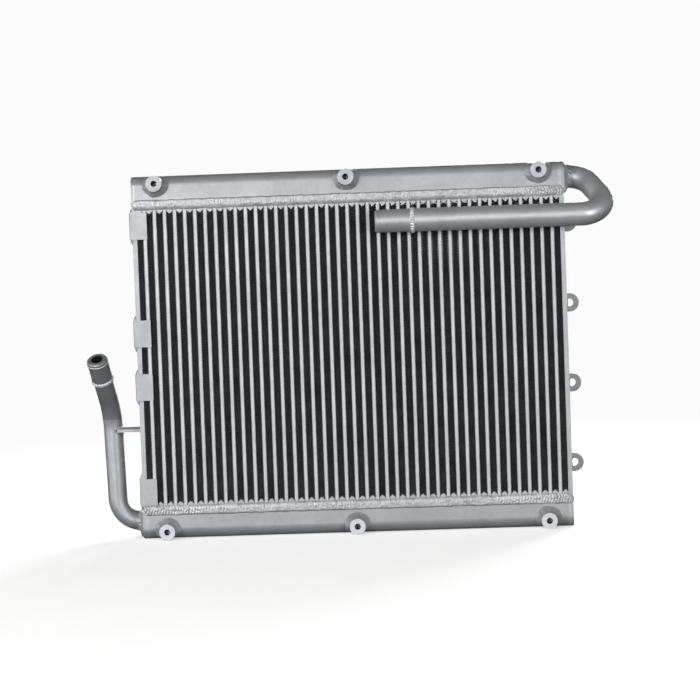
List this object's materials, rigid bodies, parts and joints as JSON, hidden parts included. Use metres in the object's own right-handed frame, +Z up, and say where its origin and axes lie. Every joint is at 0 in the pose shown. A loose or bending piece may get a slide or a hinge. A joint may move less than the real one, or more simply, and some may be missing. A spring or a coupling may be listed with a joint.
{
  "type": "hydraulic oil cooler",
  "caption": "Bar-and-plate hydraulic oil cooler with end tanks, threaded mounting bosses and two bent hose pipes.",
  "frame": {"origin": "centre of the six threaded bosses, in the plane of their front faces", "axes": "+X to the right along the tanks as seen from the front, +Y from the boss faces back through the core along the air flow, +Z up from the inlet tank to the outlet tank"},
  "size_m": [0.5839, 0.0974, 0.402],
  "materials": {
    "tank_shell": "satin extruded aluminium with brushed-on silver coat",
    "closing_bar": "drawn bar, satin, brazed",
    "parting_sheet": "rolled clad sheet, satin",
    "side_plate": "rolled plate, satin",
    "air_fin": "dark thin folded sheet",
    "turbulator": "thin folded sheet, oiled",
    "boss": "turned bar, machined face",
    "pipe": "drawn tube, satin",
    "hose_ferrule": "turned, satin",
    "bracket": "bent and sheared plate, satin"
  },
  "bodies": {
    "root": {"air_fins": "air_fin", "boss_lower_left": "boss", "boss_lower_middle": "boss", "boss_lower_right": "boss", "boss_upper_left": "boss", "boss_upper_middle": "boss", "boss_upper_right": "boss", "clip_bottom": "bracket", "clip_lower": "bracket", "clip_top": "bracket", "clip_upper": "bracket", "ear_bottom": "bracket", "ear_lower": "bracket", "ear_top": "bracket", "ear_upper": "bracket", "front_passage_bars": "closing_bar", "inlet_hose_ferrule": "hose_ferrule", "inlet_pipe": "pipe", "inlet_pipe_strap": "bracket", "left_side_plate": "side_plate", "lower_header_bars": "closing_bar", "lower_tank": "tank_shell", "lower_tank_port_cap": "tank_shell", "lower_tank_right_cap": "tank_shell", "oil_turbulators": "turbulator", "outlet_hose_ferrule": "hose_ferrule", "outlet_pipe": "pipe", "parting_sheets": "parting_sheet", "rear_passage_bars": "closing_bar", "right_side_plate": "side_plate", "upper_header_bars": "closing_bar", "upper_tank": "tank_shell", "upper_tank_left_cap": "tank_shell", "upper_tank_port_cap": "tank_shell"}
  },
  "joints": []
}
